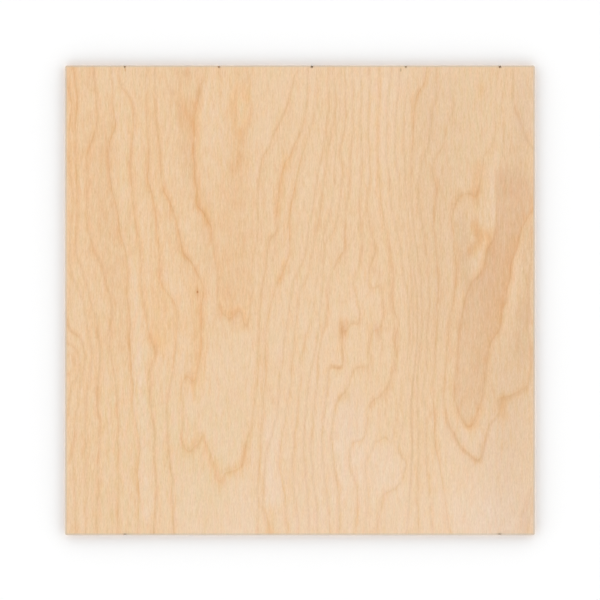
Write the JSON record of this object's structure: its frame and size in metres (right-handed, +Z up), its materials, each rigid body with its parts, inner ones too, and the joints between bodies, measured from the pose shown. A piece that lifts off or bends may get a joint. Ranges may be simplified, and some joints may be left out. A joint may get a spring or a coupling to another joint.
{
  "type": "plywood sheet",
  "caption": "Thin square plywood sheet lying flat, with pale birch faces, sanded edges and small nicks along its head edge.",
  "frame": {"origin": "middle of the sheet's underside, on the surface that it lies on", "axes": "+Z up, out of the sheet's good face; +Y along the face grain, towards the nicked head edge; +X to the right across the grain"},
  "size_m": [0.3, 0.3, 0.003],
  "materials": {
    "birch": "matte"
  },
  "bodies": {
    "root": {"plywood_sheet": "birch"}
  },
  "joints": []
}
